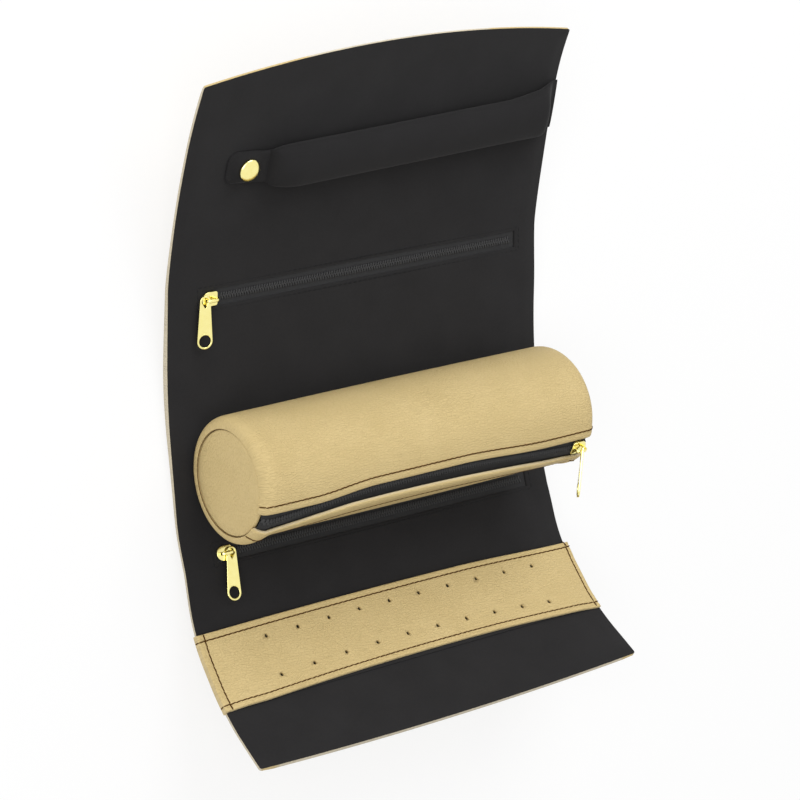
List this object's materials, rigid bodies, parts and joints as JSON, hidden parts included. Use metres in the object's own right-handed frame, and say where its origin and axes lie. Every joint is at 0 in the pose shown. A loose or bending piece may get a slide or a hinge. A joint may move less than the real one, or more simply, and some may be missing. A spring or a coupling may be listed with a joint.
{
  "type": "jewelry roll",
  "caption": "Open leather jewelry roll with a zipped round pouch, flat zip pockets, a ring bar with a snap and a pierced earring strip.",
  "frame": {"origin": "centre of the spine's flat outer face, which rests on the table", "axes": "+X along the roll, +Y up the open panel towards the arched flap, +Z out of the lining"},
  "size_m": [0.21, 0.3078, 0.0627],
  "materials": {
    "leather": "pale gold grained leather, satin",
    "lining": "near-black brushed fabric, matt",
    "wadding": "thin off-white wadding",
    "zip_tape": "black woven tape and nylon coil",
    "gold": "polished gold plating",
    "magnet": "plain magnet disc"
  },
  "bodies": {
    "spine": {"cover_spine": "leather", "lining_spine": "lining", "padding_spine": "wadding", "pouch_tube": "leather", "pouch_end_left": "leather", "pouch_end_right": "leather", "pouch_lining": "lining", "tape_pouch_upper": "zip_tape", "tape_pouch_lower": "zip_tape", "coil_pouch_upper": "zip_tape", "coil_pouch_lower": "zip_tape"},
    "pouch_slider": {"slider_pouch": "gold"},
    "pouch_pull": {"pull_pouch": "gold"},
    "lower": {"cover_lower": "leather", "lining_lower": "lining", "pocket_back_lower": "lining", "tape_lower_upper": "zip_tape", "tape_lower_lower": "zip_tape", "coil_lower_upper": "zip_tape", "coil_lower_lower": "zip_tape"},
    "lower_slider": {"slider_lower": "gold"},
    "lower_pull": {"pull_lower": "gold"},
    "earring": {"cover_earring": "leather", "lining_earring": "lining", "padding_earring": "wadding", "magnet_earring_left": "magnet", "magnet_earring_right": "magnet", "earring_strip": "leather", "earring_strip_backing": "lining"},
    "bottom_flap": {"cover_bottom_flap": "leather", "lining_bottom_flap": "lining", "padding_bottom_flap": "wadding"},
    "upper": {"cover_upper": "leather", "lining_upper": "lining", "pocket_back_upper": "lining", "tape_upper_upper": "zip_tape", "tape_upper_lower": "zip_tape", "coil_upper_upper": "zip_tape", "coil_upper_lower": "zip_tape"},
    "upper_slider": {"slider_upper": "gold"},
    "upper_pull": {"pull_upper": "gold"},
    "middle": {"cover_middle": "leather", "lining_middle": "lining", "padding_middle": "wadding"},
    "ring": {"cover_ring": "leather", "lining_ring": "lining", "padding_ring": "wadding", "snap_stud": "gold"},
    "ring_bar": {"ring_bar_cushion": "lining", "ring_bar_tab": "lining", "snap_cap": "gold", "snap_socket": "gold"},
    "top_flap": {"cover_top_flap": "leather", "lining_top_flap": "lining", "padding_top_flap": "wadding", "magnet_top_flap_left": "magnet", "magnet_top_flap_right": "magnet"}
  },
  "joints": [
    {"name": "lower_fold", "type": "hinge", "parent": "spine", "child": "lower", "pos_m": [0, -0.03, 0.0042], "axis": [-1, 0, 0], "range_deg": [-11.8, 52.2]},
    {"name": "earring_fold", "type": "hinge", "parent": "lower", "child": "earring", "pos_m": [0, -0.07376, 0.01334], "axis": [-1, 0, 0], "range_deg": [-23.5, 36.5]},
    {"name": "bottom_flap_fold", "type": "hinge", "parent": "earring", "child": "bottom_flap", "pos_m": [0, -0.10444, 0.03507], "axis": [-1, 0, 0], "range_deg": [-16, 24]},
    {"name": "upper_fold", "type": "hinge", "parent": "spine", "child": "upper", "pos_m": [0, 0.03, 0.0042], "axis": [1, 0, 0], "range_deg": [-8.5, 65.5]},
    {"name": "middle_fold", "type": "hinge", "parent": "upper", "child": "middle", "pos_m": [0, 0.08341, 0.01218], "axis": [1, 0, 0], "range_deg": [-8.7, 15.3]},
    {"name": "ring_fold", "type": "hinge", "parent": "middle", "child": "ring", "pos_m": [0, 0.11589, 0.02224], "axis": [1, 0, 0], "range_deg": [-4.8, 63.2]},
    {"name": "top_flap_fold", "type": "hinge", "parent": "ring", "child": "top_flap", "pos_m": [0, 0.15112, 0.03647], "axis": [1, 0, 0], "range_deg": [-8.7, 36.3]},
    {"name": "lower_zip", "type": "slide", "parent": "lower", "child": "lower_slider", "axis": [-1, 0, 0], "range_m": [-0.16, 0]},
    {"name": "upper_zip", "type": "slide", "parent": "upper", "child": "upper_slider", "axis": [-1, 0, 0], "range_m": [-0.16, 0]},
    {"name": "pouch_zip", "type": "slide", "parent": "spine", "child": "pouch_slider", "axis": [1, 0, 0], "range_m": [-0.165, 0]},
    {"name": "lower_pull_swing", "type": "hinge", "parent": "lower_slider", "child": "lower_pull", "pos_m": [-0.08105, -0.04132, 0.00871], "axis": [0, -0.2045, -0.9789], "range_deg": [-120, 0]},
    {"name": "upper_pull_swing", "type": "hinge", "parent": "upper_slider", "child": "upper_pull", "pos_m": [-0.08655, 0.07222, 0.01263], "axis": [0, -0.1478, 0.989], "range_deg": [-110, 0]},
    {"name": "pouch_pull_swing", "type": "hinge", "parent": "pouch_slider", "child": "pouch_pull", "pos_m": [0.0824, -0.0203, 0.06063], "axis": [-1, 0, 0], "range_deg": [0, 151]},
    {"name": "ring_bar_lift", "type": "hinge", "parent": "ring", "child": "ring_bar", "pos_m": [0.103, 0.132, 0.02907], "axis": [0, -0.9272, -0.3746], "range_deg": [-80, 0]}
  ]
}
